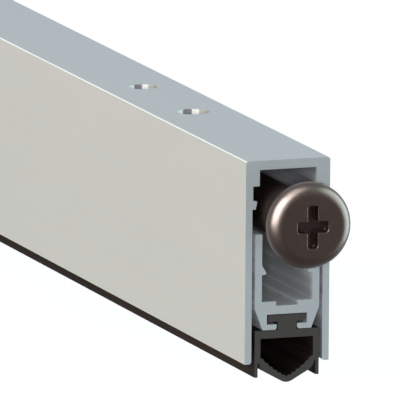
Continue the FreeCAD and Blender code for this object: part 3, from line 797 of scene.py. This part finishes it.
def face_outwards(piece):
    """Turns every face of a closed mesh outwards."""
    shape = bmesh.new()
    shape.from_mesh(piece.data)
    bmesh.ops.recalc_face_normals(shape, faces=shape.faces)
    shape.to_mesh(piece.data)
    shape.free()


# %% [markdown]
# The button's points are the cross's own points, moved. Up to the mouth each ring is the
# cross made wider or smaller, and from there on its points slide out to a circle.

# %% Make the button
def button_places():
    """Each ring's points: cross places slid along their rays towards a circle."""
    angle = np.arctan2(cross_places[:, 1], cross_places[:, 0])
    ray = np.stack([np.cos(angle), np.sin(angle)], axis=1)
    widened = cross_places + cross_normals * rings[:, 1, None, None]
    circle = ray * rings[:, 2, None, None]
    share = rings[:, 3, None, None]
    shrunk = widened * (1 + share)
    opened = widened * (1 - share) + circle * share
    section = np.where(share < 0, shrunk, opened)
    along = np.broadcast_to(rings[:, 0, None], section.shape[:2])
    return np.stack([along, section[:, :, 0], section[:, :, 1] + rod_z], axis=-1)


button = ring_mesh("button_moulding", button_places())
face_outwards(button)
button.data.materials.append(button_finish)
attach(button, "button")
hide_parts("plunger_button")
print("button faces:", len(button.data.polygons))

# %% [markdown]
# ## The return spring
# The spring pushes the button out again. It is one round wire: its middle line climbs
# evenly in the open turns and lies nearly flat for the last turn at each end, as in
# a real compression spring. The tube is a circle carried along that line. The share of
# its length that it keeps when the button is pressed is worked out from the press travel.

# %% The return spring
spring_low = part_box("spring_abutment")[1][0]
spring_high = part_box("spring_collar")[0][0]
wire_radius = 0.35 * MM
coil_radius = 2.75 * MM
flat_share = 0.065


def spring_places(turns=9.0, samples=900, sides=14):
    """A circle of the wire's radius carried along the coil's line.

    The line is x = ramp, y = R cos, z = R sin of the turn angle, where the ramp is
    nearly flat over the first and last turn and straight between.
    """
    start, stop = spring_low + wire_radius, spring_high - wire_radius
    turned = np.linspace(0.0, 1.0, samples) * turns
    rise = np.interp(turned, [0.0, 1.0, turns - 1.0, turns],
                     [0.0, flat_share, 1.0 - flat_share, 1.0])
    angle = turned * 2 * math.pi
    line = np.stack([start + (stop - start) * rise, coil_radius * np.cos(angle),
                     coil_radius * np.sin(angle) + rod_z], axis=1)
    along = np.gradient(line, axis=0)
    along /= np.linalg.norm(along, axis=1, keepdims=True)
    outward = np.stack([np.zeros(samples), np.cos(angle), np.sin(angle)], axis=1)
    side = np.cross(along, outward)
    around = np.linspace(0.0, 2 * math.pi, sides, endpoint=False)
    offset = (outward[:, None] * np.cos(around)[None, :, None]
              + side[:, None] * np.sin(around)[None, :, None])
    return line[:, None] + offset * wire_radius


spring = ring_mesh("coil_spring", spring_places())
face_outwards(spring)
spring.data.materials.append(slot_finishes["spring_steel"])
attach(spring, "casing")
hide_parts("return_spring")
joints = {joint["name"]: joint for joint in frame["record"]["behaviour"]["joints"]}
press_travel = joints["press"]["range_m"][1]
spring_keep = 1 - press_travel / (spring_high - spring_low)
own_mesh(spring)
print("spring keeps", round(spring_keep, 3), "of its length when pressed")

# %% [markdown]
# ## The floor
# A pale floor lies a little below the seal, which in use hangs in the door's groove.
# The background is white by its own colour for camera, mirror and glass rays, so it
# doesn't light the seal and shows only in its gloss. Near the seal, where the lamps are
# strongest, the floor's own white is lower, so that the seal's soft shadow stays under
# white and shows.

# %% The floor
floor_drop = 60.0 * MM
floor_half = 6.0
floor_shades = (rgb(0.80, 0.80, 0.80), rgb(0.84, 0.84, 0.84))
near_reach, far_reach = 0.25, 0.60
near_white = rgb(0.55, 0.51, 0.50)
far_white = rgb(0.66, 0.62, 0.61)
black = rgb(0.0, 0.0, 0.0)


def background_rays(draw):
    """1 for rays that show the background: seen straight, in a mirror or in glass."""
    straight = draw.node("LightPath", output="Is Camera Ray")
    mirror = draw.node("LightPath", output="Is Glossy Ray")
    glass = draw.node("LightPath", output="Is Transmission Ray")
    return draw.maths("MAXIMUM", straight, draw.maths("MAXIMUM", mirror, glass))


def pale_floor_finish():
    """Pale and matt, with a white of its own that is lower near the seal."""
    material, surface, draw = start_finish("pale_floor")
    place = place_of(draw)
    along, across = parts_of(draw, place)[:2]
    reach = along.distance(across).between(near_reach, far_reach)
    white = reach.colour(near_white, far_white)
    feed(
        draw, surface,
        Base_Color=noise(draw, place, scale=40.0).colour(*floor_shades),
        Roughness=0.8,
        Emission_Color=background_rays(draw).colour(black, white),
        Emission_Strength=1.0,
    )
    return material


def add_floor():
    """A square sheet below the seal, which keeps the seal's shadow."""
    half, level = floor_half, cad_low[2] - floor_drop
    corners = [(-half, -half, level), (half, -half, level),
               (half, half, level), (-half, half, level)]
    mesh = bpy.data.meshes.new("floor")
    mesh.from_pydata(corners, [], [(0, 1, 2, 3)])
    mesh.materials.append(pale_floor_finish())
    floor = bpy.data.objects.new("floor", mesh)
    bpy.context.scene.collection.objects.link(floor)
    return floor


floor = add_floor()
print("floor", floor_drop, "below the seal")

# %% [markdown]
# ## The light
# The world gives a soft cool fill. Three large soft lamps give each face its level: the
# long side is the brightest and warm, the top is cooler, and the cut end is the darkest.
# Three more panels give the button its sheen: they are linked to the button alone and
# light no other piece.

# %% The world and the lamps
fill = rgb(0.30, 0.35, 0.36)
white = rgb(1.0, 1.0, 1.0)
seal_middle = (0.08, 0.0, -0.015)
button_middle = (0.17, 0.0, -0.008)


def add_world():
    """White behind the seal, and a soft cool grey for the light that it gives."""
    world = bpy.data.worlds.new("studio")
    bpy.context.scene.world = world
    world.use_nodes = True
    draw = Wire(world.node_tree)
    shade = background_rays(draw).colour(fill, white)
    background = world.node_tree.nodes["Background"]
    world.node_tree.links.new(shade.socket, background.inputs["Color"])


def add_lamp(name, place, aim, size, power, colour):
    """A rectangular lamp that faces a point."""
    light = bpy.data.lights.new(name, "AREA")
    light.shape = "RECTANGLE"
    light.size, light.size_y = size
    light.energy = power
    light.color = colour
    lamp = bpy.data.objects.new(name, light)
    bpy.context.scene.collection.objects.link(lamp)
    lamp.location = place
    lamp.rotation_mode = "QUATERNION"
    lamp.rotation_quaternion = (Vector(aim) - Vector(place)).to_track_quat("-Z", "Y")
    return lamp


def add_gloss_panel(name, place, size, power, colour):
    """A panel that shows as a sheen on the button alone."""
    panel = add_lamp(name, place, button_middle, size, power, colour)
    panel.visible_diffuse = False
    sheen = bpy.data.collections.new(name + "_sheen")
    sheen.objects.link(button)
    panel.light_linking.receiver_collection = sheen


add_world()
add_lamp("side_lamp", (0.23, -1.40, 0.30), seal_middle,
         size=(0.40, 0.90), power=8.5, colour=(1.0, 0.80, 0.55))
add_lamp("top_lamp", (0.10, 0.45, 1.45), seal_middle,
         size=(0.90, 0.90), power=6.2, colour=(0.42, 0.64, 1.0))
add_lamp("front_lamp", (3.59, -1.23, 0.66), button_middle,
         size=(0.45, 0.45), power=47.0, colour=(0.96, 0.97, 1.0))
add_gloss_panel("left_panel", (1.24, -2.62, 1.20),
                size=(3.6, 3.6), power=3800.0, colour=(0.98, 1.0, 1.0))
add_gloss_panel("upper_panel", (1.05, -1.10, 2.75),
                size=(2.6, 2.6), power=740.0, colour=(0.98, 1.0, 1.0))
add_gloss_panel("right_panel", (0.217, 0.146, 0.025),
                size=(0.15, 0.24), power=3.1, colour=(0.78, 1.0, 0.98))
bpy.context.scene.view_settings.view_transform = "Standard"
print("lamps:", len(bpy.data.lights))
